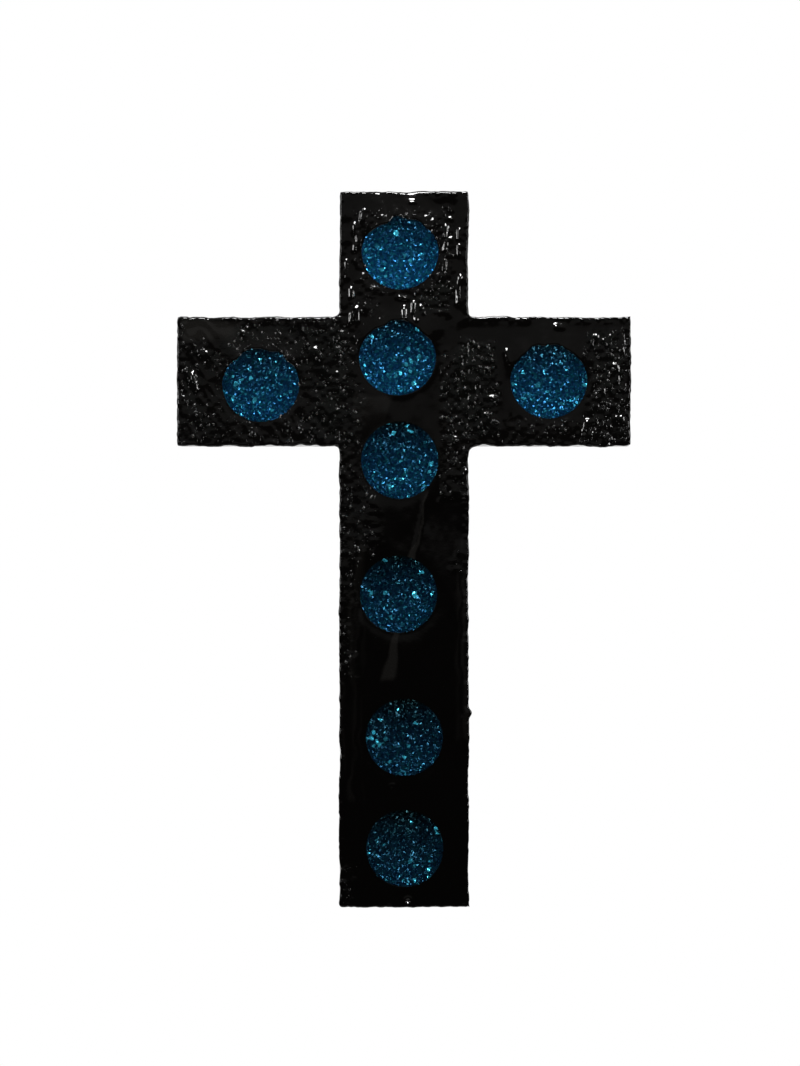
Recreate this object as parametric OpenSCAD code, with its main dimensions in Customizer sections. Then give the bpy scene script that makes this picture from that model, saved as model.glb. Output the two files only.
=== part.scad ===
// Flat Latin cross with a thick gloss coat and eight domed, faceted stones bedded in its front.
// The origin is on the flat back, behind the middle of the crossing. The front faces -Y, +Z is up.

/* [Cross] */
// Height of the upright, from foot to top
cross_h = 185; // [154:1:222]
// Span of the cross-bar, from tip to tip
bar_span = 117.5; // [97:0.5:141]
// Width of the upright
post_w = 33.5; // [27.5:0.5:40.5]
// Height of the cross-bar
bar_h = 33.5; // [27.5:0.5:40.5]
// Length of the upright above the cross-bar
head_l = 32.5; // [27:0.5:39]
// Thickness of the metal plate
plate_t = 5; // [4.5:0.5:8]
// Thickness of the coat on the front
coat_t = 2; // [1.5:0.1:3]
// Radius of the roll of the coat over the front edges
edge_r = 1.2; // [0.5:0.1:2]
// Radius of the outer corners, seen from the front
corner_r = 0.7; // [0.3:0.1:3]
// Radius of the four inner corners, where bar and upright meet
fillet_r = 2; // [0.5:0.5:5]

/* [Stones] */
// Diameter of a stone across its girdle
stone_d = 20; // [16:0.5:24]
// Height of a stone, from its flat back to its crown
stone_h = 5; // [4:0.5:7]
// Height of the straight girdle below the dome
girdle_h = 1.4; // [0.5:0.1:2]
// Rings of facets between crown and girdle
facet_rings = 6; // [3:1:8]
// Depth of the bed in the coat
bed_depth = 1.4; // [0.5:0.1:2]
// Gap between a stone and the wall of its bed
bed_gap = 0.1; // [0.05:0.05:0.3]

/* [Hidden] */
ROLL_STEPS = 5;
ARC_STEPS = 5;
SHARP_R = 0.2;
ROUND_FN = 64;
CUT_OVER = 1;

cross_t = plate_t + coat_t;
foot_l = cross_h - head_l - bar_h;

// Heights above the middle of the crossing, and distances to its side
half_bar = bar_h / 2;
top_z = half_bar + head_l;
foot_z = top_z - cross_h;
half_span = bar_span / 2;
half_post = post_w / 2;
arm_l = half_span - half_post;

// The stones were set by eye. Each row holds the node's name, its place across and its height. An
// arm's stone lies a share of the way along the arm, and a foot's stone a share of the way down.
STONES = [
    ["stone_head", -1.0, half_bar + 0.52 * head_l],
    ["stone_crossing_upper", -1.7, 0.38 * half_bar],
    ["stone_crossing_lower", -1.1, -half_bar - 0.03 * foot_l],
    ["stone_foot_upper", -1.4, -half_bar - 0.32 * foot_l],
    ["stone_foot_middle", 0.1, -half_bar - 0.63 * foot_l],
    ["stone_foot_lower", 0.2, -half_bar - 0.87 * foot_l],
    ["stone_left_arm", -half_post - 0.48 * arm_l, -0.5],
    ["stone_right_arm", half_post + 0.49 * arm_l, 0.4],
];

// Corners of the outline, anticlockwise: place, way to the arc's centre, first angle, turn
CORNERS = [
    [[half_span, -half_bar], [-1, 1], -90, 1],
    [[half_span, half_bar], [-1, -1], 0, 1],
    [[half_post, half_bar], [1, 1], 270, -1],
    [[half_post, top_z], [-1, -1], 0, 1],
    [[-half_post, top_z], [1, -1], 90, 1],
    [[-half_post, half_bar], [-1, 1], 0, -1],
    [[-half_span, half_bar], [1, -1], 90, 1],
    [[-half_span, -half_bar], [1, 1], 180, 1],
    [[-half_post, -half_bar], [-1, -1], 90, -1],
    [[-half_post, foot_z], [1, 1], 180, 1],
    [[half_post, foot_z], [-1, 1], 270, 1],
    [[half_post, -half_bar], [1, -1], 180, -1],
];

// Radius of a corner's arc when the outline is moved inwards: outer corners tighten, and the
// fillets of the inner corners open
function arc_r(turn, inset) = turn > 0 ? max(corner_r - inset, SHARP_R) : fillet_r + inset;

// The outline moved inwards by inset, with every corner kept round
function outline(inset) = [
    for (c = CORNERS, i = [0 : ARC_STEPS])
        let (r = arc_r(c[3], inset), a = c[2] + c[3] * 90 * i / ARC_STEPS)
        c[0] + (r + c[3] * inset) * c[1] + r * [cos(a), sin(a)]
];

// Depths and insets of the cross-section's levels, from the back to the rolled front edge
function levels() = [
    [0, 0],
    for (i = [0 : ROLL_STEPS])
        let (a = 90 * i / ROLL_STEPS)
        [cross_t - edge_r + edge_r * sin(a), edge_r * (1 - cos(a))]
];

// A flat end over the ring that starts at point first, fanned from the crossing's centre: every
// point of the outline can be reached from there in a straight line inside the cross
function end_faces(first, n, centre, facing) = [
    for (i = [0 : n - 1])
        let (a = first + i, b = first + (i + 1) % n)
        facing > 0 ? [centre, b, a] : [centre, a, b]
];

// Side faces between each two rings of n points, for rings stacked one above the other
function wall_faces(rings, n) = [
    for (k = [0 : rings - 2], i = [0 : n - 1])
        let (j = (i + 1) % n)
        each [
            [k * n + i, (k + 1) * n + i, (k + 1) * n + j],
            [k * n + i, (k + 1) * n + j, k * n + j],
        ]
];

// Turns a shape built face up, with its height along the page, to face -Y
module face_front() {
    rotate([90, 0, 0]) children();
}

// The plate and its coat: one slab with a flat back and a rolled front edge
module slab() {
    n = len(CORNERS) * (ARC_STEPS + 1);
    rings = [for (level = levels()) [for (p = outline(level[1])) [p[0], p[1], level[0]]]];
    front = (len(rings) - 1) * n;
    centres = len(rings) * n;
    polyhedron(
        points = concat(
            [for (ring = rings) each ring],
            [[0, 0, 0], [0, 0, cross_t]]
        ),
        faces = concat(
            end_faces(0, n, centres, -1),
            wall_faces(len(rings), n),
            end_faces(front, n, centres + 1, 1)
        )
    );
}

// The round bed that one stone sits in, cut from the front
module bed(stone) {
    translate([stone[1], stone[2], cross_t - bed_depth])
        cylinder(h = bed_depth + CUT_OVER, d = stone_d + 2 * bed_gap, $fn = ROUND_FN);
}

module cross() {
    color("black") face_front() difference() {
        slab();
        for (stone = STONES) bed(stone);
    }
}

// Height of the dome at a distance r from the stone's axis, from the girdle up
function dome_z(r) =
    let (rise = stone_h - girdle_h, ball_r = (pow(stone_d / 2, 2) + rise * rise) / (2 * rise))
    sqrt(ball_r * ball_r - r * r) - (ball_r - rise);

// Points of facet ring k: the crown is ring 0, and ring k holds 6 k points
function ring_points(k) = k == 0 ? [[0, 0, stone_h]] : [
    for (i = [0 : 6 * k - 1])
        let (r = stone_d / 2 * k / facet_rings, a = 360 * i / (6 * k))
        [r * cos(a), r * sin(a), girdle_h + dome_z(r)]
];

// Index of point i of facet ring k, counted round the ring
function ring_index(k, i) = k == 0 ? 0 : 1 + 3 * k * (k - 1) + (i % (6 * k));

// Triangles between rings k - 1 and k, in six equal sectors
function facet_faces(k) = [
    for (s = [0 : 5], i = [0 : k - 1])
        each [
            [
                ring_index(k - 1, s * (k - 1) + i),
                ring_index(k, s * k + i + 1),
                ring_index(k, s * k + i)
            ],
            if (i < k - 1) [
                ring_index(k - 1, s * (k - 1) + i),
                ring_index(k - 1, s * (k - 1) + i + 1),
                ring_index(k, s * k + i + 1)
            ],
        ]
];

// A stone, face up: flat back, straight girdle and a dome cut in triangles
module stone_body() {
    n = 6 * facet_rings;
    rim = ring_index(facet_rings, 0);
    back = rim + n;
    dome = [for (k = [0 : facet_rings]) each ring_points(k)];
    back_ring = [for (p = ring_points(facet_rings)) [p[0], p[1], 0]];
    girdle = [
        for (i = [0 : n - 1])
            let (j = (i + 1) % n)
            each [[rim + i, rim + j, back + j], [rim + i, back + j, back + i]]
    ];
    polyhedron(
        points = concat(dome, back_ring),
        faces = concat(
            [for (k = [1 : facet_rings]) each facet_faces(k)],
            girdle,
            [[for (i = [0 : n - 1]) back + i]]
        )
    );
}

module stone(place) {
    color([0.02, 0.25, 0.4]) face_front()
        translate([place[1], place[2], cross_t - bed_depth]) stone_body();
}

cross();
for (place = STONES)
    stone(place);
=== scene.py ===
"""Small grave cross: a flat plate under a thick gloss black coat, with eight round blue stones."""

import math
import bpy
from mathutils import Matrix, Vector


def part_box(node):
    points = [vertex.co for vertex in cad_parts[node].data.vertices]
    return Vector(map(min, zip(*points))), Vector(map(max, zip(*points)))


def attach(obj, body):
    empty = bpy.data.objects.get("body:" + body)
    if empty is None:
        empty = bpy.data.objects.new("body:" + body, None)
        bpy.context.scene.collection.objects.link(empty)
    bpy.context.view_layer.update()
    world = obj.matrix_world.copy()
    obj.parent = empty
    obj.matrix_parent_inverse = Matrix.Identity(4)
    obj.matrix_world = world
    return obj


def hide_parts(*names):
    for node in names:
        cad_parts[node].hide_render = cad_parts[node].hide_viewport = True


bl_info = {
    "name": "Grave Cross with Blue Stones",
    "version": (1, 0, 0),
    "blender": (4, 5, 0),
    "location": "View3D > Sidebar > Grave Cross",
    "description": "Builds a coated metal grave cross with faceted blue stones set in its front",
    "category": "Object",
}

import bpy
import numpy as np
from bpy.props import FloatProperty, FloatVectorProperty, IntProperty, PointerProperty
from mathutils import Vector

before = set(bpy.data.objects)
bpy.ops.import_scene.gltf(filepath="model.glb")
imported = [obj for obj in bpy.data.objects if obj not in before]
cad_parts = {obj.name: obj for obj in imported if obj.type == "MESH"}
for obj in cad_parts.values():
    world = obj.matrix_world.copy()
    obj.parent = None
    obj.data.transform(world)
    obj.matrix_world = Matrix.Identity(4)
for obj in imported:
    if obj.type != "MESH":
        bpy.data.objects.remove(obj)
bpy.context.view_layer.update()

MM = 0.001
CROSS_NODE = "cross"
STONE_NODES = (
    "stone_head", "stone_crossing_upper", "stone_crossing_lower", "stone_foot_upper",
    "stone_foot_middle", "stone_foot_lower", "stone_left_arm", "stone_right_arm",
)


# -------- sizes of the plain parts from model.glb, in mm

CROSS_LOW, CROSS_HIGH = (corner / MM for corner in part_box(CROSS_NODE))
HALF_SPAN = (CROSS_HIGH.x - CROSS_LOW.x) / 2
TOP = CROSS_HIGH.z
FOOT = CROSS_LOW.z
THICKNESS = CROSS_HIGH.y - CROSS_LOW.y


def stone_place(node):
    """Centre across and up, radius, and the depths of back and crown from the back plane, in mm."""
    low, high = (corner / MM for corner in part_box(node))
    return (low.x + high.x) / 2, (low.z + high.z) / 2, (high.x - low.x) / 2, -high.y, -low.y


# -------- settings


def length(name, description, default):
    """A length that a user may change, in metres."""
    return FloatProperty(name=name, description=description, default=default, unit="LENGTH")


def colour(name, description, default):
    """A colour that a user may change."""
    return FloatVectorProperty(name=name, description=description, default=default, subtype="COLOR")


class CoatSettings(bpy.types.PropertyGroup):
    """Sizes and colours of the plate and its coat."""

    post_width: length("Upright Width", "Width of the upright", 0.0335)
    bar_height: length("Bar Height", "Height of the cross-bar", 0.0335)
    roll: length("Edge Roll", "Radius of the coat where it rolls over the front edges", 0.0005)
    inner_radius: length("Inner Corner Radius", "Largest radius of the coat in the inner corners", 0.002)
    outer_radius: length("Outer Corner Radius", "Radius of the outer corners, seen from the front", 0.0011)
    wander: length("Edge Wander", "How far the coat's edges wander", 0.00035)
    step: length("Mesh Step", "Spacing of the front's mesh lines", 0.000352)
    black: colour("Coat Black", "Colour of the coat", (0.0009, 0.0006, 0.0005))
    # the brown below is painted sheen and reflection on the smooth coat, not a colour the coat has
    sheen_brown: colour("Thin Coat Brown", "Colour where the coat is poured thin", (0.0130, 0.0122, 0.0112))
    back: colour("Rubbed Back", "Colour of the satin coat where the back is rubbed", (0.030, 0.030, 0.032))


class GritSettings(bpy.types.PropertyGroup):
    """Sizes of the small drops that stand on the stippled coat."""

    density: FloatProperty(
        name="Density", description="Drops for each square metre of fully stippled coat", default=0.75e6
    )
    smallest: length("Smallest Drop", "Radius of the smallest drops", 0.00015)
    largest: length("Largest Drop", "Radius of the largest drops", 0.00060)
    seed: IntProperty(name="Seed", description="Seed of the scatter", default=7)


class StoneSettings(bpy.types.PropertyGroup):
    """Sizes and colours of the stones."""

    rings: IntProperty(
        name="Facet Rings", description="Rings of three-sided points between crown and rim", default=13
    )
    rim: length("Rim", "Width of the plain rim outside the points", 0.00025)
    point: length("Point Height", "How far each three-sided point stands out", 0.00011)
    deep: colour("Deep Colour", "Colour of the darkest flakes", (0.0034, 0.052, 0.160))
    bright: colour("Bright Colour", "Colour of the brightest flakes", (0.0090, 0.165, 0.250))
    # the glint colour is painted light: a few large flakes are coloured bright to stand for glints
    glint: colour("Glint Colour", "Colour of the few large flakes", (0.08, 0.68, 0.95))
    mirrored: colour("Mirrored Tint", "Tint of what a stone's surface mirrors", (0.30, 0.90, 1.0))


class StageSettings(bpy.types.PropertyGroup):
    """Camera, lamps and floor."""

    distance: length("Camera Distance", "Distance of the camera in front of the cross", 1.0)
    view_height: length("View Height", "Height of the view at the cross", 0.2747)
    aim: FloatVectorProperty(
        name="Aim",
        description="Point of the front that the camera looks at, across and up",
        size=2,
        default=(-0.00103, -0.03904),
        unit="LENGTH",
    )
    floor_drop: length("Floor Drop", "Distance of the floor below the cross's foot", 0.75)
    key_power: FloatProperty(
        name="Key Lamp", description="Power of the main lamp, above the front", default=2.7, unit="POWER"
    )
    side_power: FloatProperty(
        name="Side Lamps", description="Power of each side lamp", default=1.8, unit="POWER"
    )
    floor: colour("Floor Colour", "Colour of the floor", (0.8, 0.8, 0.79))


# -------- small helpers


def lattice_noise(u, v, seed):
    """Smooth noise from -1 to 1, with one new value per unit of u and v."""
    column, row = np.floor(u).astype(np.int64), np.floor(v).astype(np.int64)
    across, up = u - column, v - row
    across = across**3 * (across * (across * 6 - 15) + 10)
    up = up**3 * (up * (up * 6 - 15) + 10)

    def corner(i, j):
        mixed = ((column + i) * 374761393 + (row + j) * 668265263 + seed * 974711) & 0xFFFFFFFF
        mixed = ((mixed ^ (mixed >> 13)) * 1274126177) & 0xFFFFFFFF
        return ((mixed ^ (mixed >> 16)) & 0xFFFF) / 32767.5 - 1

    low = corner(0, 0) * (1 - across) + corner(1, 0) * across
    high = corner(0, 1) * (1 - across) + corner(1, 1) * across
    return low * (1 - up) + high * up


def ease(low, high, value):
    """0 below low, 1 above high, and smooth between."""
    t = np.clip((value - low) / (high - low), 0, 1)
    return t * t * (3 - 2 * t)


def hump(value, centre, width):
    """A smooth hump of height 1."""
    return np.exp(-(((value - centre) / width) ** 2))


def patch(x, z, left, right, low, high, soft):
    """1 inside a box on the face and 0 outside, with soft edges."""
    return (
        ease(left - soft, left + soft, x)
        * (1 - ease(right - soft, right + soft, x))
        * ease(low - soft, low + soft, z)
        * (1 - ease(high - soft, high + soft, z))
    )


def in_scene(name, data):
    """An object in the scene, at the origin."""
    piece = bpy.data.objects.new(name, data)
    bpy.context.scene.collection.objects.link(piece)
    return piece


def mesh_object(name, points, faces, material, smooth=True):
    """A mesh object in the scene, from points in mm."""
    mesh = bpy.data.meshes.new(name)
    mesh.from_pydata([tuple(p) for p in np.asarray(points, float) * MM], [], faces)
    mesh.materials.append(material)
    mesh.polygons.foreach_set("use_smooth", [smooth] * len(mesh.polygons))
    mesh.update()
    return in_scene(name, mesh)


def rgba(colour):
    """A colour with full alpha."""
    return (*colour, 1)


class Wiring:
    """Adds nodes to a tree. An input that is given a socket is linked to it, and any other is set."""

    def __init__(self, tree):
        self.nodes, self.links = tree.nodes, tree.links

    def feed(self, node, **values):
        """Gives a node's inputs, by name with underscores for spaces."""
        for name, value in values.items():
            self.connect(node.inputs[name.replace("_", " ")], value)

    def connect(self, socket, value):
        if isinstance(value, bpy.types.NodeSocket):
            self.links.new(value, socket)
        else:
            socket.default_value = value

    def add(self, kind, **values):
        """A new node, with its inputs."""
        node = self.nodes.new(kind)
        self.feed(node, **values)
        return node

    def step(self, kind, operation, values):
        """The result of a Math or Vector Math node."""
        node = self.nodes.new(kind)
        node.operation = operation
        for socket, value in zip(node.inputs, values):
            self.connect(socket, value)
        return node.outputs[0]

    def math(self, operation, *values):
        return self.step("ShaderNodeMath", operation, values)

    def vector(self, operation, *values):
        return self.step("ShaderNodeVectorMath", operation, values)

    def ranged(self, value, **limits):
        """A value brought from one range to another, each 0 to 1 unless given."""
        return self.add("ShaderNodeMapRange", Value=value, **limits).outputs["Result"]

    def mix(self, factor, first, second, kind="RGBA", clamped=True):
        """A mix of two colours, or of two numbers where kind is FLOAT."""
        node = self.nodes.new("ShaderNodeMix")
        node.data_type = kind
        node.clamp_factor = clamped
        self.feed(node, Factor=factor, A=first, B=second)
        return node.outputs["Result"]

    def noise(self, place, **values):
        """A noise over a place."""
        return self.add("ShaderNodeTexNoise", Vector=place, **values).outputs["Fac"]

    def attribute(self, name):
        """A value that the mesh holds at its points."""
        node = self.nodes.new("ShaderNodeAttribute")
        node.attribute_name = name
        return node.outputs["Fac"]

    def group(self, tree, **values):
        """A node that uses a shader node group."""
        node = self.nodes.new("ShaderNodeGroup")
        node.node_tree = tree
        self.feed(node, **values)
        return node


def new_material(name):
    """A node material, with its wiring, its shader and its texture coordinates."""
    material = bpy.data.materials.new(name)
    material.use_nodes = True
    material.node_tree.nodes.clear()
    wiring = Wiring(material.node_tree)
    shader = wiring.add("ShaderNodeBsdfPrincipled")
    wiring.add("ShaderNodeOutputMaterial", Surface=shader.outputs["BSDF"])
    return material, wiring, shader, wiring.add("ShaderNodeTexCoord").outputs


def new_group(name, kind, inputs, outputs):
    """A node group with sockets given as name and type, with its wiring, what comes in and its exit."""
    tree = bpy.data.node_groups.new(name, kind)
    for way, sockets in (("INPUT", inputs), ("OUTPUT", outputs)):
        for label, content in sockets.items():
            tree.interface.new_socket(label, in_out=way, socket_type="NodeSocket" + content)
    wiring = Wiring(tree)
    return tree, wiring, wiring.add("NodeGroupInput").outputs, wiring.add("NodeGroupOutput")


# -------- coat: surface


def grid_lines(low, high, inner, roll, step):
    """Mesh lines along one axis: close together over the rolled edges and even between them."""
    bends = roll * (1 - np.cos(np.radians(np.arange(0, 91, 15))))
    marks = np.concatenate([low + bends, -inner + bends, inner - bends, high - bends])
    marks = np.unique(np.round(marks, 6))
    lines = [marks[:1]]
    for a, b in zip(marks[:-1], marks[1:]):
        count = max(1, int(round((b - a) / step)))
        lines.append(np.linspace(a, b, count + 1)[1:])
    return np.concatenate(lines)


def edge_distance(x, z, half_post, half_bar, roll):
    """Distance from a point of the face to the cross's outline."""
    to_side = half_post - abs(x)
    to_end = np.where(z > 0, TOP - z, z - FOOT)
    to_edge = half_bar - abs(z)
    to_tip = HALF_SPAN - abs(x)
    in_bar, in_post = to_edge >= 0, to_side >= 0

    def rounded(a, b):
        corner = roll - np.hypot(roll - np.minimum(a, roll), roll - np.minimum(b, roll))
        return np.where((a < roll) & (b < roll), np.maximum(corner, 0), np.minimum(a, b))

    post = rounded(to_side, to_end)
    bar = rounded(to_edge, to_tip)
    crossing = np.hypot(to_side, to_edge)
    return np.where(in_bar & in_post, crossing, np.where(in_bar, bar, post))


# stippled areas: amount, then left, right, low, high and softness in mm, then smoother places in them
STIPPLED = (
    (0.75, (-60, -14.5, -18, 18, 1.0), (
        (0.85, (-56, -44, 10.5, 15.8, 1.2)),
        (0.7, (-52.5, -48.5, -4, 2.5, 1.0)),
    )),
    (0.8, (-12.5, 12.6, 17, 45, 1.2), ((1.0, (-7.5, 1.5, 17, 23.2, 1.0)),)),
    (1.0, (15, 23.6, -14.5, 10.5, 0.8), ()),
    (1.0, (46.8, 60, -18, 13.6, 0.9), ()),
    (0.7, (26, 48, -18, -9.5, 1.2), ()),
    (0.75, (-18, -6.5, -45, -16, 1.6), ()),
    (0.5, (-18, -11, -16, 17, 2.0), ()),
    (0.55, (-18, -13.4, -137, -125, 1.5), ()),
    (0.5, (12.8, 15.4, -49, -44.5, 0.9), ()),
    (0.35, (-18, -12.4, -77, -42, 1.2), ()),
)


def stipple_amount(x, z):
    """How stippled the coat is: 1 where it was dabbed on, 0 where it was poured smooth."""
    wobble_x = x + 1.3 * lattice_noise(x / 4, z / 4, 21) + 0.5 * lattice_noise(x / 1.3, z / 1.3, 22)
    wobble_z = z + 1.3 * lattice_noise(x / 4, z / 4, 23) + 0.5 * lattice_noise(x / 1.3, z / 1.3, 24)
    total = patch(x, z, 9.6, 16.4, -30.6, 12, 0.6) * (1 - ease(5, 9.5, wobble_z))
    for amount, area, smoother in STIPPLED:
        here = amount * patch(wobble_x, wobble_z, *area)
        for share, place in smoother:
            here *= 1 - share * patch(wobble_x, wobble_z, *place)
        total += here
    return np.clip(total, 0, 1)


def run_down(x, z, top, bottom, width, bend):
    """A rounded ridge down the face between two (across, height) points."""
    along = np.clip((top[1] - z) / (top[1] - bottom[1]), 0, 1)
    middle = top[0] + (bottom[0] - top[0]) * along + bend * np.sin(along * math.pi)
    ends = ease(bottom[1] - width, bottom[1] + width, z) * (1 - ease(top[1] - width, top[1] + width, z))
    return ends * np.maximum(0, 1 - ((x - middle) / width) ** 2)


def stroke(x, z, points, width):
    """How near the face is to a bent line through (across, height) points: 1 on it, 0 away."""
    near = np.full_like(x, 99.0)
    for (x0, z0), (x1, z1) in zip(points[:-1], points[1:]):
        long = (x1 - x0) ** 2 + (z1 - z0) ** 2
        share = np.clip(((x - x0) * (x1 - x0) + (z - z0) * (z1 - z0)) / long, 0, 1)
        near = np.minimum(near, np.hypot(x - x0 - share * (x1 - x0), z - z0 - share * (z1 - z0)))
    return hump(near, 0, width)


# short welts of coat on the head and the bar, as bent lines in mm
WELTS = (
    (0.44, 0.52, ((-12.8, 40.4), (-12.6, 38.4))),
    (0.46, 0.55, ((-12.0, 38.2), (-11.9, 36.3))),
    (0.46, 0.55, ((-11.5, 36.6), (-11.6, 34.9))),
    (0.44, 0.52, ((-12.5, 35.4), (-12.8, 33.8))),
    (0.36, 0.50, ((-14.9, 31.0), (-14.7, 26.6))),
    (0.44, 0.55, ((-13.7, 23.8), (-13.5, 21.6))),
    (0.46, 0.55, ((-13.2, 20.6), (-12.9, 18.8))),
    (0.46, 0.55, ((-12.2, 18.9), (-12.1, 15.8))),
    (0.40, 0.50, ((-13.5, 17.6), (-13.6, 15.4))),
    (0.40, 0.50, ((-10.6, 44.0), (-10.9, 41.6))),
    (0.40, 0.50, ((10.9, 40.0), (10.5, 37.2))),
    (0.46, 0.60, ((10.9, 36.2), (10.6, 33.8))),
    (0.38, 0.50, ((10.5, 31.2), (10.4, 28.6))),
    (0.40, 0.55, ((-1.4, 21.8), (0.7, 21.3))),
    (0.46, 0.58, ((0.0, 18.8), (0.0, 15.8))),
    (0.44, 0.52, ((2.5, 20.2), (2.3, 17.8))),
    (0.42, 0.50, ((2.9, 17.9), (3.2, 15.8))),
    (0.38, 0.50, ((4.3, 19.4), (5.0, 17.7))),
    (0.42, 0.52, ((14.6, 27.0), (13.9, 24.4), (14.0, 20.2))),
    (0.38, 0.50, ((14.2, 39.0), (14.1, 36.8))),
    (0.40, 0.50, ((14.1, 35.0), (14.1, 32.6))),
    (0.28, 0.52, ((1.4, 46.3), (2.8, 46.2))),
    (0.42, 0.60, ((26.4, 7.8), (27.1, 4.8))),
    (0.44, 0.65, ((47.2, -10.4), (46.4, -12.8))),
    (0.42, 0.80, ((39.2, 14.2), (40.8, 14.0))),
    (0.42, 0.55, ((-54.5, 1.6), (-53.5, -2.0))),
    (0.36, 0.50, ((-22.6, 8.4), (-21.4, 6.0))),
)


# runs of coat down the foot: rise, top and bottom as (across, height), width and sideways bend, in mm
RUNS = (
    (0.16, (5.4, -28.5), (1.8, -46.5), 0.8, 0.5),
    (0.12, (-13.2, -44), (-13.4, -108), 1.0, 0.4),
    (0.10, (-10.8, -50), (-11.2, -80), 0.8, -0.3),
    (0.18, (15.0, -42), (15.2, -90), 0.9, 0.2),
    (0.10, (11.9, -48), (11.8, -60), 0.7, 0.0),
)

# pinholes left by bubbles: across, height and radius in mm
PINHOLES = ((1.0, -133.9, 0.8), (-3.1, -104.2, 0.35), (-40.2, 14.4, 0.6))


def coat_relief(x, z, d):
    """Height of the coat over the flat front, in mm, and the height of the welts on it."""
    lively = 0.35 + 0.65 * ease(-52, -38, z)
    height = lively * 0.13 * lattice_noise(x / 9, z / 19, 11)
    height += lively * 0.05 * lattice_noise(x / 3.4, z / 7, 12)
    height += lively * 0.012 * lattice_noise(x / 1.2, z / 2.6, 13)

    # the border is low round the foot and stands up round the head, with small lumps on its edge
    strength = (-0.11 + 0.19 * ease(16, 22, z)) * lively
    strength = strength * (0.8 + 0.5 * lattice_noise(x / 4, z / 4, 14))
    height += strength * (1 - ease(1.2, 4.6, d + 0.5 * lattice_noise(x / 3, z / 3, 19)))
    height += 0.12 * lively * lattice_noise(x / 0.85, z / 0.85, 20) * hump(d, 0.7, 0.7)

    # the border's inner sides in the head are steeper, and wander
    in_head = ease(13, 16, z) * (1 - ease(42, 46, z))
    side = -13.4 + 0.9 * lattice_noise(z / 2.9, z * 0, 15)
    rise = 0.16 * in_head * ease(-0.5, 0.5, lattice_noise(z / 3.1, z * 0, 17))
    height += rise * (1 - ease(side - 0.45, side + 0.45, x))
    side = 14.0 + 0.45 * lattice_noise(z / 3.7, z * 0, 16)
    rise = 0.16 * in_head * ease(-0.6, 0.3, lattice_noise(z / 4.1, z * 0, 18))
    height += rise * ease(side - 0.5, side + 0.5, x)

    # dabbed coat stands a little higher, in lumps, and is calm under a welt
    dabbed = stipple_amount(x, z)
    lumps = lattice_noise(x / 0.95, z / 1.05, 31)
    welts = np.zeros_like(x)
    for rise, width, points in WELTS:
        welts = np.maximum(welts, rise * stroke(x, z, points, width))
    calm = 1 - 0.85 * np.clip(welts / 0.15, 0, 1)
    rough = dabbed * calm * (0.15 + 0.04 * ease(8, 12, x) + 0.07 * ease(20, 30, z))
    height += 0.12 * dabbed + rough * (lumps + 0.5 * lattice_noise(x / 2.1, z / 2.4, 32))

    # the dabbed square right of the crossing has a groove on its left, and the bar's right end has ribs
    square = ease(8.9, 9.9, x) * (1 - ease(20, 25, x)) * ease(-31.0, -30.1, z) * (1 - ease(3, 10, z))
    height += 0.10 * square - 0.08 * hump(x, 8.9, 0.8) * patch(x, z, 8, 10, -30.5, 7, 0.8)
    ribs = patch(x, z, 47.5, 60, -15, 13.3, 1.0)
    height += 0.09 * ribs * np.sin(x * 2 * math.pi / 1.7 + 0.8 * lattice_noise(x * 0, z / 4, 33))

    # the poured strip along the right arm's top leans back a little
    height -= 0.16 * ease(7, 16.5, z) * patch(x, z, 16, 60, 0, 18, 1.5)

    # creases that lie aslant across the left arm
    aslant = (x * 0.85 + z * 0.53) / 2.0
    crease = lattice_noise(aslant, (z * 0.85 - x * 0.53) / 6, 34)
    height += 0.16 * patch(x, z, -60, -16, -18, 18, 1.5) * (1 - abs(crease) * 2)

    for rise, top, bottom, width, bend in RUNS:
        height += rise * run_down(x, z, top, bottom, width, bend)
    for hole_x, hole_z, hole_r in PINHOLES:
        away = np.hypot(x - hole_x, z - hole_z) / hole_r
        height += 0.2 * hump(away, 1.0, 0.4) - 0.5 * hump(away, 0, 0.6)
    return height, welts


def paint_sheen(x, z):
    """Where the smooth coat is painted lighter brown-grey, 1 at the lightest: painted sheen and reflections.
    """
    x = x + 0.8 * lattice_noise(x / 3, z / 4, 81)
    z = z + 0.8 * lattice_noise(x / 4, z / 3, 82)
    # painted reflections: the wedge by the crossing, the left arm's corner, a faint lift over the head and
    # bar, the run, the smear and the streaks down the foot
    wedge = 0.45 * ease(-15, -3.5, z) * patch(x, z, -13, -4.5 + (z + 9) * 0.3, -15, -3.5, 0.6)
    corner = 0.85 * patch(x, z, -57, -43, 10.8, 15.6, 1.1)
    across = 0.05 * patch(x, z, -60, 60, -17, 60, 2.5)
    along = np.clip((-28 - z) / 18, 0, 1)
    width = 0.35 + 0.6 * along**2
    from_middle = abs(x - 5.4 + 3.6 * along - 0.6 * np.sin(along * math.pi)) / width
    run = (0.45 + 0.4 * along) * (1 - ease(0.5, 1.15, from_middle)) * patch(x, z, -2, 9, -47, -28, 0.8)
    width = 0.6 + 1.7 * np.clip((-63 - z) / 13, 0, 1)
    from_middle = abs(x + 0.8 - (z + 62) * 0.22) / width
    smear = 0.7 * (1 - ease(0.6, 1.1, from_middle)) * patch(x, z, -9, 3, -77, -62, 1.0)
    streaks = ease(-0.2, 0.7, lattice_noise(x / 0.8, z / 22, 83))
    left = 0.25 * patch(x, z, -16, -10.5, -108, -34, 0.9) * streaks
    streaks = ease(-0.5, 0.6, lattice_noise(x / 0.7, z / 9, 84))
    right = 0.35 * patch(x, z, 13.4, 16.3, -92, -41, 0.6) * streaks
    return np.clip(wedge + corner + across + run + smear + left + right, 0, 1)


# how far the coat creeps over each stone's rim, in mm: all round, and more at its top
CREEP = {
    "stone_head": (0.30, 1.3),
    "stone_crossing_upper": (0.30, 0.7),
    "stone_left_arm": (0.30, 0.7),
    "stone_right_arm": (0.30, 0.5),
}


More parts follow.
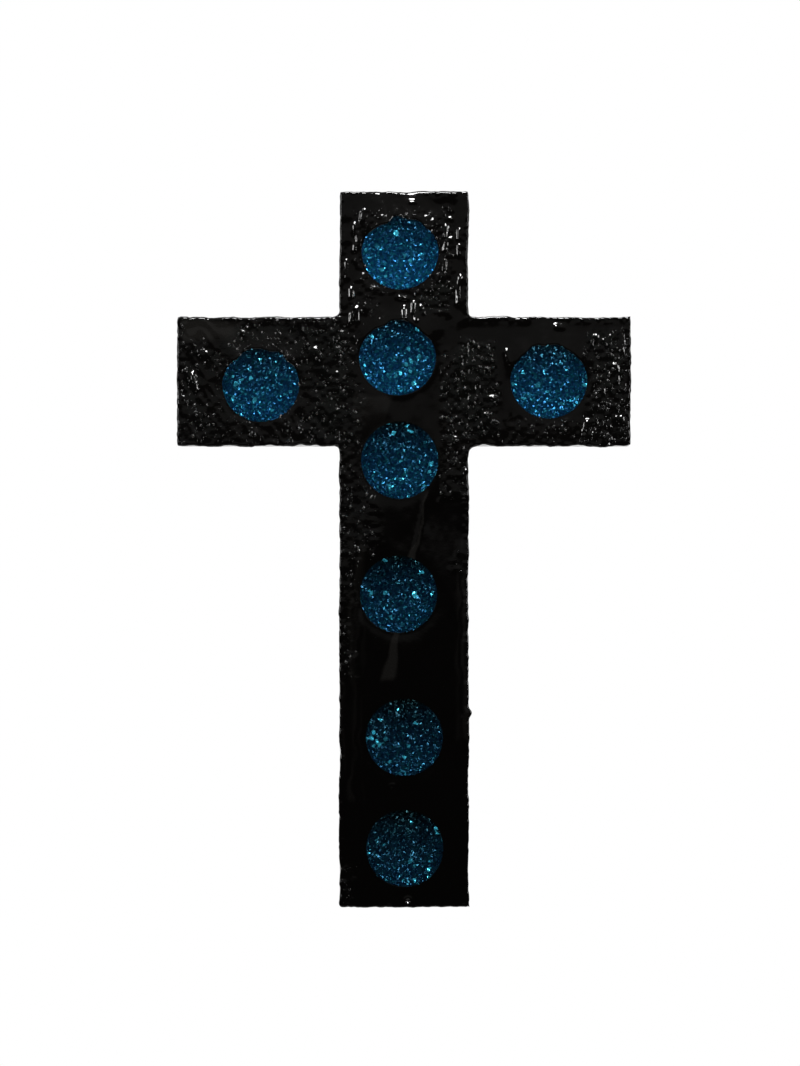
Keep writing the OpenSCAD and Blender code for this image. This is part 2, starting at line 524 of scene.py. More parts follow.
def bed_and_collar(x, z, height, welts):
    """Sinks the coat under each stone, lets it creep over the upper stones' rims, and adds the welts."""
    clear = np.ones_like(x)
    dabbed = stipple_amount(x, z)
    for number, node in enumerate(STONE_NODES):
        centre_x, centre_z, radius, back, crown = stone_place(node)
        away = np.hypot(x - centre_x, z - centre_z)
        angle = np.arctan2(z - centre_z, x - centre_x)
        creeps = node in CREEP
        round_it, at_top = CREEP.get(node, (0.3, 0.1))
        uneven = 1 + 0.5 * lattice_noise(angle * 3 + 9, away * 0, 41 + number)
        edge = radius - (round_it + at_top * ease(0.2, 0.9, np.sin(angle))) * uneven
        dome = stone_height(np.minimum(away, radius + 3), radius, back, crown) - THICKNESS
        beyond = away - edge
        rim = stone_height(np.minimum(edge, radius), radius, back, crown) - THICKNESS + 0.05
        grain = 0.03 + (0.09 if node == "stone_head" else 0.03) * dabbed
        ramp = rim - 0.15 * np.maximum(beyond, 0) + grain * lattice_noise(x / 0.9, z / 0.9, 55)
        inside = dome + 0.05 + 2.2 * np.minimum(beyond, 0)
        above = ease(0, 0.6, np.sin(angle)) * creeps
        near = height - (height + 0.05) * hump(away, radius, 0.9 if creeps else 1.7) * (1 - above)
        blend = np.clip(0.5 + (near - ramp) / 0.3, 0, 1)
        joined = ramp * (1 - blend) + near * blend + 0.15 * blend * (1 - blend)
        outside = joined * above + near * (1 - above)
        clear = np.minimum(clear, ease(0.1, 0.9, beyond))
        height = np.where(beyond < 0, np.maximum(np.minimum(outside, inside), -1.3), outside)
    return height + welts * clear


def fill_inner_corners(x, z, half_post, half_bar, radius):
    """Rounds the face's inner corners, by moving the points near them outwards."""
    move_x, move_z = np.zeros_like(x), np.zeros_like(z)
    for side_x, side_z, share in ((1, 1, 0.45), (-1, 1, 0.8), (-1, -1, 0.5), (1, -1, 1.0)):
        r = radius * share
        a, b = (x - side_x * half_post) * side_x, (z - side_z * half_bar) * side_z
        along = np.where(b >= 0, -np.minimum(b, r), np.where(a >= 0, np.minimum(a, r), 0))
        gap = np.where((a < 0) & (b < 0), np.hypot(a, b), np.where(b >= 0, -a, -b))
        turn = np.radians(-135 + 45 * along / r)
        from_a, from_b = np.maximum(along, 0), np.maximum(-along, 0)
        fade = np.exp(-((np.maximum(gap, 0) / r) ** 2) * 1.2)
        near = np.where((a <= r) & (b <= r) & (a > -3 * r) & (b > -3 * r), fade, 0)
        move_x += side_x * near * (r + r * np.cos(turn) - from_a)
        move_z += side_z * near * (r + r * np.sin(turn) - from_b)
    return x + move_x, z + move_z


def round_outer_corners(x, z, half_post, half_bar, radius):
    """Pulls the square outer corners of the face into arcs."""
    corners = [(sx * HALF_SPAN, sz * half_bar, sx, sz) for sx in (-1, 1) for sz in (-1, 1)]
    corners += [(sx * half_post, TOP, sx, 1) for sx in (-1, 1)]
    corners += [(sx * half_post, FOOT, sx, -1) for sx in (-1, 1)]
    for corner_x, corner_z, side_x, side_z in corners:
        a = (x - (corner_x - side_x * radius)) * side_x / radius
        b = (z - (corner_z - side_z * radius)) * side_z / radius
        inside = (a > 0) & (b > 0) & (a < 1.01) & (b < 1.01)
        a1, b1 = np.clip(a, 0, 1), np.clip(b, 0, 1)
        round_a, round_b = a1 * np.sqrt(1 - b1 * b1 / 2), b1 * np.sqrt(1 - a1 * a1 / 2)
        x = np.where(inside, corner_x + side_x * radius * (round_a - 1), x)
        z = np.where(inside, corner_z + side_z * radius * (round_b - 1), z)
    return x, z


def edge_noise(along, side, seed):
    """Noise along an edge, different on the cross's two sides."""
    return lattice_noise(along, np.sign(side) * 3.5 + 0.5, seed)


def wander_edges(x, z, half_post, half_bar, amount):
    """Moves the edges in and out by a fraction of a millimetre, never past the overall size."""
    post_part = abs(z) > half_bar
    wave = 0.6 * edge_noise(z / 5, x, 61) + 0.4 * edge_noise(z / 1.7, x, 62)
    taper = ease(0, 3, abs(z) - half_bar)
    side = np.sign(x) * amount * 0.8 * wave * taper * hump(half_post - abs(x), 0, 2.0)
    tip = -np.sign(x) * amount * (0.55 + 0.55 * wave) * hump(HALF_SPAN - abs(x), 0, 2.0)
    drip = hump(z, -85.4, 1.1) * hump(half_post - x, 0, 2.0) * ease(-88, -85, z + 0.6)
    fine = -0.07 * (edge_noise(z / 0.8, x, 65) + 1) * np.sign(x)
    fine = fine * hump(np.where(post_part, half_post, HALF_SPAN) - abs(x), 0, 1.0)
    new_x = x + np.where(post_part, side + drip, tip) + fine

    wave = 0.6 * edge_noise(x / 5, z, 63) + 0.4 * edge_noise(x / 1.9, z, 64)
    taper = ease(0, 3, abs(x) - half_post)
    edge = np.sign(z) * amount * wave * taper * hump(half_bar - abs(z), 0, 2.0)
    sag = np.where(z < 0, 1.5, 0.8)
    to_end = np.where(z > 0, TOP - z, z - FOOT)
    end = -np.sign(z) * amount * (0.5 + 0.5 * wave) * hump(to_end, 0, 2.0)
    in_arm = ~post_part & (abs(x) > half_post)
    fine = 0.08 * (edge_noise(x / 0.8, z, 66) - 1) * np.sign(z)
    fine = fine * hump(np.where(post_part, to_end, half_bar - abs(z)), 0, 1.0) * (in_arm | post_part)
    new_z = z + np.where(in_arm, sag * edge, np.where(post_part, end, 0)) + fine
    return new_x, new_z


def outline_loop(xs, zs, index, half_post, half_bar):
    """The face's border points in order, anticlockwise from the lower corner of the right arm."""
    corners = (
        (HALF_SPAN, -half_bar), (HALF_SPAN, half_bar), (half_post, half_bar), (half_post, TOP),
        (-half_post, TOP), (-half_post, half_bar), (-HALF_SPAN, half_bar), (-HALF_SPAN, -half_bar),
        (-half_post, -half_bar), (-half_post, FOOT), (half_post, FOOT), (half_post, -half_bar),
    )
    places = [(int(abs(xs - cx).argmin()), int(abs(zs - cz).argmin())) for cx, cz in corners]
    loop = []
    for (i0, k0), (i1, k1) in zip(places, places[1:] + places[:1]):
        steps = max(abs(i1 - i0), abs(k1 - k0))
        for s in range(steps):
            loop.append(index[i0 + (i1 - i0) * s // steps, k0 + (k1 - k0) * s // steps])
    return np.array(loop)


# rows of points down the walls: height over the back and inset in mm, and how straight the outline is
WALL_ROWS = (
    (5.2, 0.05, 0.1),
    (3.6, 0.14, 0.35),
    (2.0, 0.12, 0.7),
    (0.8, 0.08, 0.9),
    (0.2, 0.12, 1.0),
    (0.0, 0.3, 1.0),
)


def coat_mesh(settings):
    """Points, faces and point values of the coated plate, in mm."""
    half_post, half_bar = settings.post_width / MM / 2, settings.bar_height / MM / 2
    roll, step, outer_radius = settings.roll / MM, settings.step / MM, settings.outer_radius / MM
    xs = grid_lines(-HALF_SPAN, HALF_SPAN, half_post, roll, step)
    zs = grid_lines(FOOT, TOP, half_bar, roll, step)
    mid_x, mid_z = (xs[1:] + xs[:-1]) / 2, (zs[1:] + zs[:-1]) / 2
    cell = (abs(mid_x)[:, None] < half_post) | (abs(mid_z)[None, :] < half_bar)
    used = np.zeros((len(xs), len(zs)), bool)
    for i in (0, 1):
        for k in (0, 1):
            used[i : i + cell.shape[0], k : k + cell.shape[1]] |= cell
    index = -np.ones(used.shape, int)
    index[used] = np.arange(used.sum())
    grid_x, grid_z = np.meshgrid(xs, zs, indexing="ij")
    x, z = grid_x[used], grid_z[used]

    d = edge_distance(x, z, half_post, half_bar, roll)
    relief = bed_and_collar(x, z, *coat_relief(x, z, d)) * ease(0, roll, d)
    drop = roll - np.sqrt(np.maximum(roll**2 - (roll - np.minimum(d, roll)) ** 2, 0))
    depth = THICKNESS + relief - drop
    face_x, face_z = fill_inner_corners(x, z, half_post, half_bar, settings.inner_radius / MM)
    face_x, face_z = wander_edges(face_x, face_z, half_post, half_bar, settings.wander / MM)
    face_x, face_z = round_outer_corners(face_x, face_z, half_post, half_bar, outer_radius)
    margin = 0.02
    face_x = np.clip(face_x, CROSS_LOW.x + margin, CROSS_HIGH.x - margin)
    face_z = np.clip(face_z, CROSS_LOW.z + margin, CROSS_HIGH.z - margin)
    points = [np.stack([face_x, -depth, face_z], 1)]

    i, k = np.nonzero(cell)
    faces = np.stack([index[i, k], index[i + 1, k], index[i + 1, k + 1], index[i, k + 1]], 1).tolist()

    loop = outline_loop(xs, zs, index, half_post, half_bar)
    edge = points[0][loop]
    plain_x, plain_z = round_outer_corners(x[loop], z[loop], half_post, half_bar, outer_radius)
    plain = np.stack([plain_x, edge[:, 1], plain_z], 1)
    way = np.roll(plain, -1, 0) - np.roll(plain, 1, 0)
    outward = np.stack([way[:, 2], np.zeros(len(loop)), -way[:, 0]], 1)
    outward /= np.maximum(np.linalg.norm(outward, axis=1), 1e-9)[:, None]
    run = np.cumsum(np.linalg.norm(plain - np.roll(plain, 1, 0), axis=1))
    count, last = len(x), loop
    for row, (height, inset, straight) in enumerate(WALL_ROWS):
        lump = 0.08 * lattice_noise(run / 2.6, run * 0 + row * 0.7, 71) * (row < 4)
        ring = edge * (1 - straight) + plain * straight - outward * (inset + lump)[:, None]
        ring[:, 1] = -height
        points.append(ring)
        fresh = np.arange(count, count + len(loop))
        count += len(loop)
        faces += np.stack([last, fresh, np.roll(fresh, -1), np.roll(last, -1)], 1).tolist()
        last = fresh
    front_and_walls = len(faces)
    faces += back_faces(xs, zs, index, loop, last, half_post, half_bar, points, count)
    beyond_front = np.zeros(sum(len(part) for part in points[1:]))
    values = {
        "stipple": np.concatenate([stipple_amount(x, z) * ease(0.4, 1.2, d), beyond_front]),
        # the painted sheen and reflections, kept as a point value
        "painted_sheen": np.concatenate([paint_sheen(x, z), beyond_front]),
    }
    return np.concatenate(points), faces, values, front_and_walls


def back_faces(xs, zs, index, loop, last, half_post, half_bar, points, count):
    """Flat faces over the back: strips across each limb, and a fan at each limb's end."""
    place = {int(v): int(last[n]) for n, v in enumerate(loop)}
    left, right = int(abs(xs + half_post).argmin()), int(abs(xs - half_post).argmin())
    low, high = int(abs(zs + half_bar).argmin()), int(abs(zs - half_bar).argmin())
    inset = 20

    def at(i, k):
        return place[int(index[i, k])]

    last_x, last_z = len(xs) - 1, len(zs) - 1
    faces = [(at(left, low), at(left, high), at(right, high), at(right, low))]
    for k0, k1 in ((inset, low), (high, last_z - inset)):
        for k in range(k0, k1):
            faces.append((at(left, k), at(left, k + 1), at(right, k + 1), at(right, k)))
    for i0, i1 in ((inset, left), (right, last_x - inset)):
        for i in range(i0, i1):
            faces.append((at(i, low), at(i, high), at(i + 1, high), at(i + 1, low)))
    ends = (
        ((right, inset), (left, inset), (0.0, FOOT + 2.5)),
        ((left, last_z - inset), (right, last_z - inset), (0.0, TOP - 2.5)),
        ((inset, low), (inset, high), (-HALF_SPAN + 2.5, 0.0)),
        ((last_x - inset, high), (last_x - inset, low), (HALF_SPAN - 2.5, 0.0)),
    )
    order = {int(v): n for n, v in enumerate(loop)}
    for first, second, (mid_x, mid_z) in ends:
        points.append(np.array([[mid_x, 0.0, mid_z]]))
        n, stop = order[int(index[second])], order[int(index[first])]
        faces.append((count, at(*first), at(*second)))
        while n != stop:
            after = (n + 1) % len(loop)
            faces.append((count, int(last[n]), int(last[after])))
            n = after
        count += 1
    return faces


# -------- coat: material


def gloss_unevenness_group():
    """Node group: fine bumps and a roughness for a gloss surface, from its position and a stipple amount."""
    tree, wiring, given, result = new_group(
        "gloss_unevenness",
        "ShaderNodeTree",
        {"Position": "Vector", "Stipple": "Float", "Smooth Roughness": "Float", "Stipple Roughness": "Float"},
        {"Height": "Float", "Roughness": "Float"},
    )
    place = given["Position"]
    coarse = wiring.noise(place, Scale=1150.0, Detail=2.0, Roughness=0.55)
    fine = wiring.add("ShaderNodeTexVoronoi", Vector=place, Scale=1900.0, Randomness=1.0)
    swell = wiring.noise(place, Scale=260.0, Detail=3.0, Roughness=0.5)

    grain = wiring.math("MULTIPLY_ADD", fine.outputs["Distance"], -0.45, coarse)
    strong = wiring.math("MULTIPLY", grain, wiring.ranged(given["Stipple"], To_Min=0.05))
    wiring.feed(result, Height=wiring.math("MULTIPLY_ADD", swell, 0.35, strong))

    rough = wiring.mix(given["Stipple"], given["Smooth Roughness"], given["Stipple Roughness"], "FLOAT")
    varied = wiring.ranged(swell, From_Min=0.25, From_Max=0.75, To_Min=0.7, To_Max=1.35)
    wiring.feed(result, Roughness=wiring.math("MULTIPLY", rough, varied))
    return tree


def coat_material(settings):
    """Thick gloss black, with painted sheen and reflections in lighter brown-grey on the smooth coat,
    stippled where it was dabbed on, and satin behind.
    """
    material, wiring, shader, place = new_material("gloss_black_coat")
    uneven = wiring.group(
        gloss_unevenness_group(),
        Position=place["Object"],
        Stipple=wiring.attribute("stipple"),
        Smooth_Roughness=0.07,
        Stipple_Roughness=0.10,
    ).outputs
    # painted sheen and reflections: the smooth coat is mixed towards a lighter brown-grey where the point
    # value says
    front = wiring.mix(wiring.attribute("painted_sheen"), rgba(settings.black), rgba(settings.sheen_brown))

    # the flat back is rubbed and has a cast grain
    depth = wiring.add("ShaderNodeSeparateXYZ", Vector=place["Object"]).outputs["Y"]
    back = wiring.ranged(depth, From_Min=-0.0004, From_Max=-0.0001)
    grain = wiring.noise(place["Object"], Scale=330.0, Detail=6.0, Roughness=0.62)
    patchy = wiring.ranged(grain, From_Min=0.35, From_Max=0.68)
    rubbed = wiring.mix(patchy, rgba(settings.black), rgba(settings.back))
    satin = wiring.ranged(grain, From_Min=0.3, From_Max=0.7, To_Min=0.26, To_Max=0.55)
    cast = wiring.math("MULTIPLY", back, 6.0)

    height = wiring.math("MULTIPLY_ADD", grain, cast, uneven["Height"])
    bump = wiring.add("ShaderNodeBump", Strength=1.0, Distance=0.00006, Height=height)
    wiring.feed(
        shader,
        Base_Color=wiring.mix(back, front, rubbed),
        Roughness=wiring.mix(back, uneven["Roughness"], satin, "FLOAT"),
        Normal=bump.outputs["Normal"],
        IOR=1.75,
    )
    return material


# -------- grit


def drop_scatter_tree(material):
    """Geometry nodes: low round drops scattered over a surface by its stipple amount."""
    tree, wiring, given, result = new_group(
        "scattered_drops",
        "GeometryNodeTree",
        {"Geometry": "Geometry", "Density": "Float", "Smallest": "Float", "Largest": "Float", "Seed": "Int"},
        {"Geometry": "Geometry"},
    )
    stipple = wiring.add("GeometryNodeInputNamedAttribute", Name="stipple").outputs["Attribute"]
    scatter = wiring.add(
        "GeometryNodeDistributePointsOnFaces",
        Mesh=given["Geometry"],
        Density=wiring.math("MULTIPLY", stipple, given["Density"]),
        Seed=given["Seed"],
    ).outputs

    drop = wiring.add("GeometryNodeMeshUVSphere", Segments=7, Rings=4, Radius=1.0)
    chance = wiring.add("FunctionNodeRandomValue", Seed=given["Seed"])
    rare = wiring.math("POWER", chance.outputs[1], 4.0)
    size = wiring.ranged(rare, To_Min=given["Smallest"], To_Max=given["Largest"])
    low = wiring.math("MULTIPLY", size, 0.55)
    stand = wiring.add(
        "GeometryNodeInstanceOnPoints",
        Points=scatter["Points"],
        Instance=drop.outputs["Mesh"],
        Rotation=scatter["Rotation"],
        Scale=wiring.add("ShaderNodeCombineXYZ", X=size, Y=size, Z=low).outputs["Vector"],
    )
    real = wiring.add("GeometryNodeRealizeInstances", Geometry=stand.outputs["Instances"])
    paint = wiring.add("GeometryNodeSetMaterial", Geometry=real.outputs["Geometry"], Material=material)
    wiring.feed(result, Geometry=paint.outputs["Geometry"])
    return tree


def scatter_drops(base, name, settings, material):
    """A plain mesh object of drops that stand on the base piece's stippled parts."""
    tree = drop_scatter_tree(material)
    carrier = in_scene(name + "_carrier", base.data)
    modifier = carrier.modifiers.new("scatter", "NODES")
    modifier.node_group = tree
    for item in tree.interface.items_tree:
        if item.in_out == "INPUT" and item.name != "Geometry":
            modifier[item.identifier] = getattr(settings, item.name.lower())
    graph = bpy.context.evaluated_depsgraph_get()
    mesh = bpy.data.meshes.new_from_object(carrier.evaluated_get(graph))
    bpy.data.objects.remove(carrier)
    mesh.name = name
    mesh.polygons.foreach_set("use_smooth", [True] * len(mesh.polygons))
    return in_scene(name, mesh)


# -------- stones


def stone_height(away, radius, back, crown):
    """Height of a stone's dome over the back plane at a distance from its axis."""
    rise = crown - THICKNESS
    ball = (radius**2 + rise**2) / (2 * rise)
    return THICKNESS + np.sqrt(np.maximum(ball**2 - np.asarray(away, float) ** 2, 0)) - (ball - rise)


def lattice_ring(k, r):
    """The 6 k points of ring k at radius r (one point for ring 0), as (across, up)."""
    if k == 0:
        return [(0.0, 0.0)]
    turns = [2 * math.pi * i / (6 * k) for i in range(6 * k)]
    return [(r * math.cos(t), r * math.sin(t)) for t in turns]


def lattice_triangles(rings):
    """Triangles of a six-sided lattice of rings, as point numbers counted ring by ring."""

    def number(k, i):
        return 0 if k == 0 else 1 + 3 * k * (k - 1) + i % (6 * k)

    triangles = []
    for k in range(1, rings + 1):
        for sector in range(6):
            for i in range(k):
                a = number(k - 1, sector * (k - 1) + i)
                b, c = number(k, sector * k + i), number(k, sector * k + i + 1)
                triangles.append((a, b, c))
                if i < k - 1:
                    triangles.append((a, c, number(k - 1, sector * (k - 1) + i + 1)))
    return triangles


def turned(points, turn):
    """Turns (across, up) points about the origin."""
    cos, sin = math.cos(turn), math.sin(turn)
    return [(x * cos - y * sin, x * sin + y * cos) for x, y in points]


def add_points(points, triangles, lift, chance):
    """Splits each triangle in three round a raised middle, and returns points and faces."""
    points, faces = list(points), []
    for a, b, c in triangles:
        shares = np.array([1, 1, 1]) + chance.uniform(-0.22, 0.22, 3)
        shares /= shares.sum()
        pa, pb, pc = (Vector(points[i]) for i in (a, b, c))
        normal = (pb - pa).cross(pc - pa).normalized()
        middle = pa * shares[0] + pb * shares[1] + pc * shares[2]
        middle += normal * lift * (0.7 + 0.45 * chance.random())
        points.append(tuple(middle))
        m = len(points) - 1
        faces += [(a, b, m), (b, c, m), (c, a, m)]
    return points, faces


def faceted_stone(node, number, settings, material):
    """A dome of small three-sided points inside a plain rim, on a flat back."""
    centre_x, centre_z, radius, back, crown = stone_place(node)
    chance = np.random.default_rng(100 + number)
    rings, rim, lift = settings.rings, settings.rim / MM, settings.point / MM
    turn = math.radians(30 + chance.uniform(-2.5, 2.5))
    radius -= 0.02
    faceted = radius - rim
    flat = []
    for k in range(rings + 1):
        r = faceted * k / rings
        for x, up in turned(lattice_ring(k, r), turn):
            x += chance.uniform(-0.12, 0.12) * (k < rings)
            up += chance.uniform(-0.12, 0.12) * (k < rings)
            flat.append((x, up, float(stone_height(r, radius, back, crown)) - lift * 1.15))
    points, faces = add_points(flat, lattice_triangles(rings), lift, chance)
    count = 6 * rings
    start = 1 + 3 * rings * (rings - 1)
    last = list(range(start, start + count))
    girdle = ((radius - 0.06, THICKNESS - 0.05), (radius, THICKNESS - 0.35))
    foot = ((radius, back + 0.15), (radius - 0.15, back))
    for r, top in girdle + foot:
        fresh = []
        for x, up in turned(lattice_ring(rings, r), turn):
            points.append((x, up, top))
            fresh.append(len(points) - 1)
        faces += [(last[i], fresh[i], fresh[(i + 1) % count], last[(i + 1) % count]) for i in range(count)]
        last = fresh
    faces.append(tuple(reversed(last)))
    placed = [(centre_x + x, -top, centre_z + up) for x, up, top in points]
    stone = mesh_object(node + "_facets", placed, faces, material, smooth=False)
    # how far down the stone a point lies; the material uses it to tilt flakes and to paint each stone lighter
    # at its bottom
    low = stone.data.attributes.new("low", "FLOAT", "POINT")
    low.data.foreach_set("value", [-up / radius for x, up, top in points])
    return stone


def stone_flakes_group():
    """Node group: random flakes in a stone, each with its own tone and tilt."""
    tree, wiring, given, result = new_group(
        "stone_flakes",
        "ShaderNodeTree",
        {"Position": "Vector", "Surface": "Vector", "Scale": "Float", "Spread": "Float", "Rise": "Float"},
        {"Tone": "Float", "Normal": "Vector"},
    )
    flakes = wiring.add("ShaderNodeTexVoronoi", Vector=given["Position"], Scale=given["Scale"])
    chances = flakes.outputs["Color"]
    spread = wiring.add("ShaderNodeCombineXYZ", X=given["Spread"], Z=given["Spread"]).outputs["Vector"]
    rise = wiring.add("ShaderNodeCombineXYZ", Z=given["Rise"]).outputs["Vector"]
    chance = wiring.vector("MULTIPLY", wiring.vector("SUBTRACT", chances, (0.5, 0.5, 0.5)), spread)

    # a flake follows the stone's surface a little, and mostly faces the front
    facing = wiring.vector("MULTIPLY", given["Surface"], (0.35, 0.35, 0.35))
    for part in ((0.0, -0.65, 0.0), rise, chance):
        facing = wiring.vector("ADD", facing, part)
    wiring.feed(result, Normal=wiring.vector("NORMALIZE", facing))

    shade = wiring.add("ShaderNodeSeparateColor", Color=chances).outputs["Green"]
    wiring.feed(result, Tone=wiring.math("POWER", shade, 3.5))
    return tree


def stone_material(settings):
    """Blue and full of bright flakes, with painted shade: darker towards each stone's top and in the lower
    stones, lighter at each stone's bottom, and a few large flakes painted bright as glints.
    """
    material, wiring, shader, place = new_material("blue_stone")
    low = wiring.attribute("low")
    group = stone_flakes_group()
    where = {"Position": place["Object"], "Surface": place["Normal"]}
    rise = wiring.ranged(low, To_Min=0.02, To_Max=0.30)
    flakes = wiring.group(group, Scale=1900.0, Spread=1.45, Rise=rise, **where).outputs
    large = wiring.group(group, Scale=1000.0, **where).outputs
    tint = wiring.mix(flakes["Tone"], rgba(settings.deep), rgba(settings.bright))

    # painted shade: the lower stones are darkened as if less lamp light reached them, and each stone is
    # darker at its top and lighter at its bottom
    height = wiring.add("ShaderNodeSeparateXYZ", Vector=place["Object"]).outputs["Z"]
    share = wiring.math("POWER", wiring.ranged(height, From_Min=-0.12, From_Max=0.034), 2.2)
    painted_shade_by_height = wiring.ranged(share, To_Min=0.27)
    painted_light_by_side = wiring.ranged(low, From_Min=-1.0, To_Max=1.75)
    level = wiring.math("MULTIPLY", painted_shade_by_height, painted_light_by_side)
    painted_shade_tint = wiring.mix(level, (0, 0, 0, 1), tint, clamped=False)

    # painted glints: a few large flakes take the bright glint colour, undimmed
    chosen = wiring.ranged(large["Tone"], From_Min=0.86, From_Max=0.97)
    wiring.feed(
        shader,
        Base_Color=wiring.mix(chosen, painted_shade_tint, rgba(settings.glint)),
        Normal=flakes["Normal"],
        Specular_Tint=rgba(settings.mirrored),
        Metallic=0.58,
        Roughness=0.19,
    )
    return material


# -------- operators


class CROSS_OT_coat(bpy.types.Operator):
    """Make the coated plate in place of its plain solid"""

    bl_idname = "gravecross.coat"
    bl_label = "Coated Plate"

    def execute(self, context):
        settings = context.scene.cross_coat
        material = coat_material(settings)
        points, faces, values, curved = coat_mesh(settings)
        piece = mesh_object("coated_plate", points, faces, material)
        for name, value in values.items():
            attribute = piece.data.attributes.new(name, "FLOAT", "POINT")
            attribute.data.foreach_set("value", value)
        for polygon in piece.data.polygons[curved:]:
            polygon.use_smooth = False
        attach(piece, "root")
        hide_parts(CROSS_NODE)
        return {"FINISHED"}


class CROSS_OT_grit(bpy.types.Operator):
    """Scatter small drops of coat over its stippled parts"""

    bl_idname = "gravecross.grit"
    bl_label = "Drops on the Coat"

    def execute(self, context):
        base = bpy.data.objects["coated_plate"]
        material = base.data.materials[0]
        piece = scatter_drops(base, "coat_drops", context.scene.cross_grit, material)
        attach(piece, "root")
        return {"FINISHED"}


class CROSS_OT_stones(bpy.types.Operator):
    """Make each faceted stone in place of its plain solid"""

    bl_idname = "gravecross.stones"
    bl_label = "Blue Stones"

    def execute(self, context):
        settings = context.scene.cross_stones
        material = stone_material(settings)
        for number, node in enumerate(STONE_NODES):
            stone = faceted_stone(node, number, settings, material)
            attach(stone, "root")
            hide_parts(node)
        return {"FINISHED"}


class CROSS_OT_stage(bpy.types.Operator):
    """Set the floor, the lamps, the surroundings and the camera"""

    bl_idname = "gravecross.stage"
    bl_label = "Stage"

    def execute(self, context):
        settings = context.scene.cross_stage
        make_floor(settings)
        make_lamps(settings)
        make_surroundings()
        make_camera(settings)
        context.scene.view_settings.view_transform = "Standard"
        return {"FINISHED"}


# -------- stage


def make_floor(settings):
    """A plain pale disc, well below the cross."""
    material, wiring, shader, place = new_material("pale_floor")
    cloud = wiring.noise(place["Object"], Scale=3.0, Detail=2.0)
    shaded = [part * 0.96 for part in settings.floor]
    rays = wiring.add("ShaderNodeLightPath").outputs
    wiring.feed(
        shader,
        Base_Color=wiring.mix(cloud, rgba(settings.floor), rgba(shaded)),
        Roughness=0.9,
        Emission_Color=rgba(settings.floor),
        Emission_Strength=wiring.math("MULTIPLY", rays["Is Camera Ray"], 0.85),
    )
    sides, radius = 96, 1100
    turns = [2 * math.pi * i / sides for i in range(sides)]
    level = FOOT - settings.floor_drop / MM
    points = [(radius * math.cos(t), radius * math.sin(t), level) for t in turns]
    floor = mesh_object("floor", points, [tuple(range(sides))], material, smooth=False)


def area_lamp(name, place, width, height, power):
    """A soft rectangular lamp at a place in metres, facing the middle of the cross."""
    light = bpy.data.lights.new(name, "AREA")
    light.shape = "RECTANGLE"
    light.size, light.size_y = width, height
    light.energy = power
    lamp = in_scene(name, light)
    lamp.location = place
    lamp.rotation_mode = "QUATERNION"
    lamp.rotation_quaternion = (Vector((0, 0, -0.03)) - Vector(place)).to_track_quat("-Z", "Y")


def make_lamps(settings):
    """A lamp above the front, with a weak narrow one at each side."""
    area_lamp("key_lamp", (0.0, -0.45, 0.42), 0.14, 0.11, settings.key_power)
    for name, across in (("left_lamp", -0.95), ("right_lamp", 0.95)):
        area_lamp(name, (across, -0.75, 0.16), 0.12, 0.50, settings.side_power)


# level of the surroundings from straight below, 0, over the horizon, 0.5, to straight above, 1
SKY_LEVELS = ((0.0, 0.01), (0.49, 0.01), (0.502, 0.014), (0.52, 0.055), (0.60, 0.065), (1.0, 0.10))


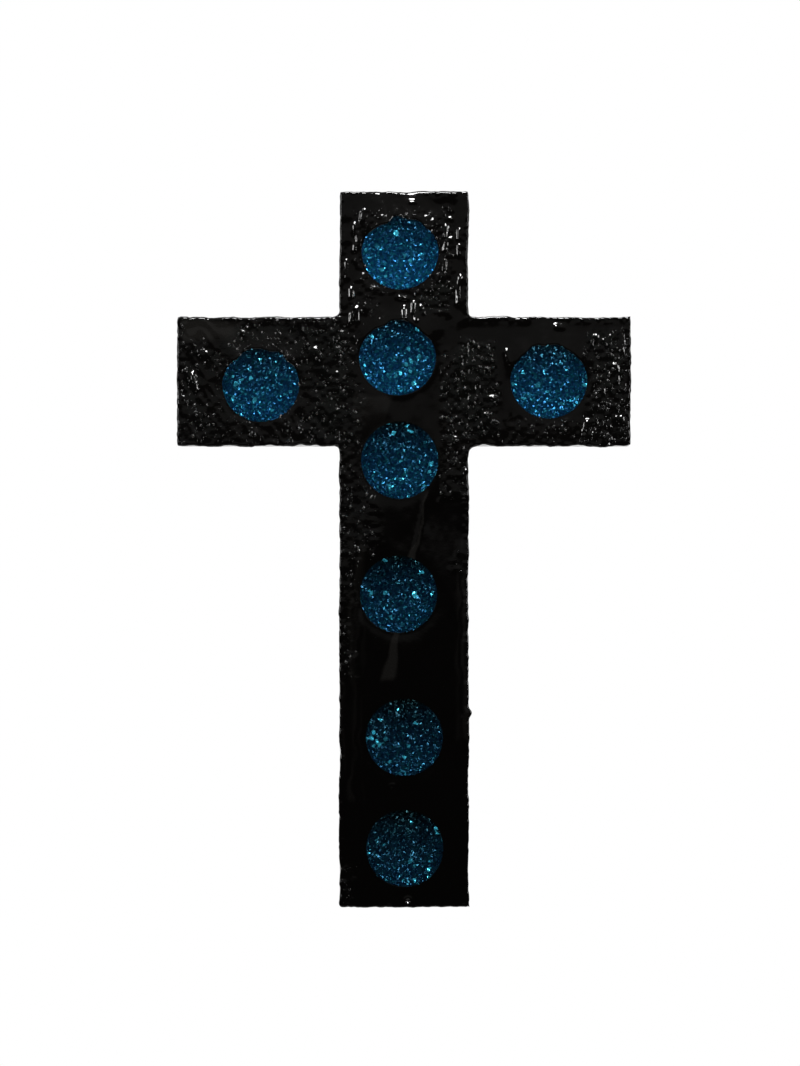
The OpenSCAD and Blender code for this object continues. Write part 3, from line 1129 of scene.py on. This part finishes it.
def make_surroundings():
    """A world that is white to the camera and behind the cross, and dims towards the front and below."""
    world = bpy.data.worlds.new("surroundings")
    bpy.context.scene.world = world
    world.use_nodes = True
    world.node_tree.nodes.clear()
    wiring = Wiring(world.node_tree)
    place = wiring.add("ShaderNodeTexCoord").outputs["Generated"]
    way = wiring.add("ShaderNodeSeparateXYZ", Vector=place).outputs
    ramp = wiring.add("ShaderNodeValToRGB", Fac=wiring.ranged(way["Z"], From_Min=-1.0))
    stops = ramp.color_ramp.elements
    stops[0].position, stops[1].position = SKY_LEVELS[0][0], SKY_LEVELS[-1][0]
    for position, level in SKY_LEVELS[1:-1]:
        stops.new(position)
    for stop, (position, level) in zip(stops, SKY_LEVELS):
        stop.color = (level, level, level * 0.98, 1)

    rays = wiring.add("ShaderNodeLightPath").outputs
    mirrored = wiring.math("MAXIMUM", rays["Is Glossy Ray"], rays["Is Transmission Ray"])
    behind = wiring.ranged(way["Y"], From_Min=0.25, From_Max=0.75)
    shown = wiring.math("MULTIPLY", mirrored, behind)
    dim = wiring.add("ShaderNodeBackground", Color=ramp.outputs["Color"])
    white = wiring.add("ShaderNodeBackground", Color=(1, 1, 1, 1))
    mix = wiring.add("ShaderNodeMixShader", Fac=wiring.math("MAXIMUM", rays["Is Camera Ray"], shown))
    wiring.connect(mix.inputs[1], dim.outputs["Background"])
    wiring.connect(mix.inputs[2], white.outputs["Background"])
    wiring.add("ShaderNodeOutputWorld", Surface=mix.outputs["Shader"])


def make_camera(settings):
    """A long lens square to the front."""
    camera = bpy.data.cameras.new("camera")
    camera.sensor_width = 36
    camera.lens = camera.sensor_width * settings.distance / settings.view_height
    camera.clip_start, camera.clip_end = 0.01, 20
    eye = in_scene("camera", camera)
    across, up = settings.aim
    eye.location = (across, -settings.distance - THICKNESS * MM, up)
    eye.rotation_euler = (math.pi / 2, 0, 0)
    bpy.context.scene.camera = eye


# -------- panel and registration


class CROSS_PT_panel(bpy.types.Panel):
    """Lists the cross's pieces and their settings"""

    bl_idname = "CROSS_PT_panel"
    bl_label = "Grave Cross"
    bl_space_type = "VIEW_3D"
    bl_region_type = "UI"
    bl_category = "Grave Cross"

    def draw(self, context):
        for name, operator in zip(SETTINGS, OPERATORS):
            box = self.layout.box()
            settings = getattr(context.scene, name)
            for key in settings.bl_rna.properties.keys():
                if key not in ("rna_type", "name"):
                    box.prop(settings, key)
            box.operator(operator.bl_idname)


SETTINGS = {
    "cross_coat": CoatSettings,
    "cross_grit": GritSettings,
    "cross_stones": StoneSettings,
    "cross_stage": StageSettings,
}
OPERATORS = (CROSS_OT_coat, CROSS_OT_grit, CROSS_OT_stones, CROSS_OT_stage)
CLASSES = (*SETTINGS.values(), *OPERATORS, CROSS_PT_panel)


def register():
    for cls in CLASSES:
        bpy.utils.register_class(cls)
    for name, cls in SETTINGS.items():
        setattr(bpy.types.Scene, name, PointerProperty(type=cls))


def unregister():
    for name in SETTINGS:
        delattr(bpy.types.Scene, name)
    for cls in reversed(CLASSES):
        bpy.utils.unregister_class(cls)


def main():
    register()
    bpy.ops.gravecross.coat()
    bpy.ops.gravecross.grit()
    bpy.ops.gravecross.stones()
    bpy.ops.gravecross.stage()


if __name__ == "__main__":
    main()
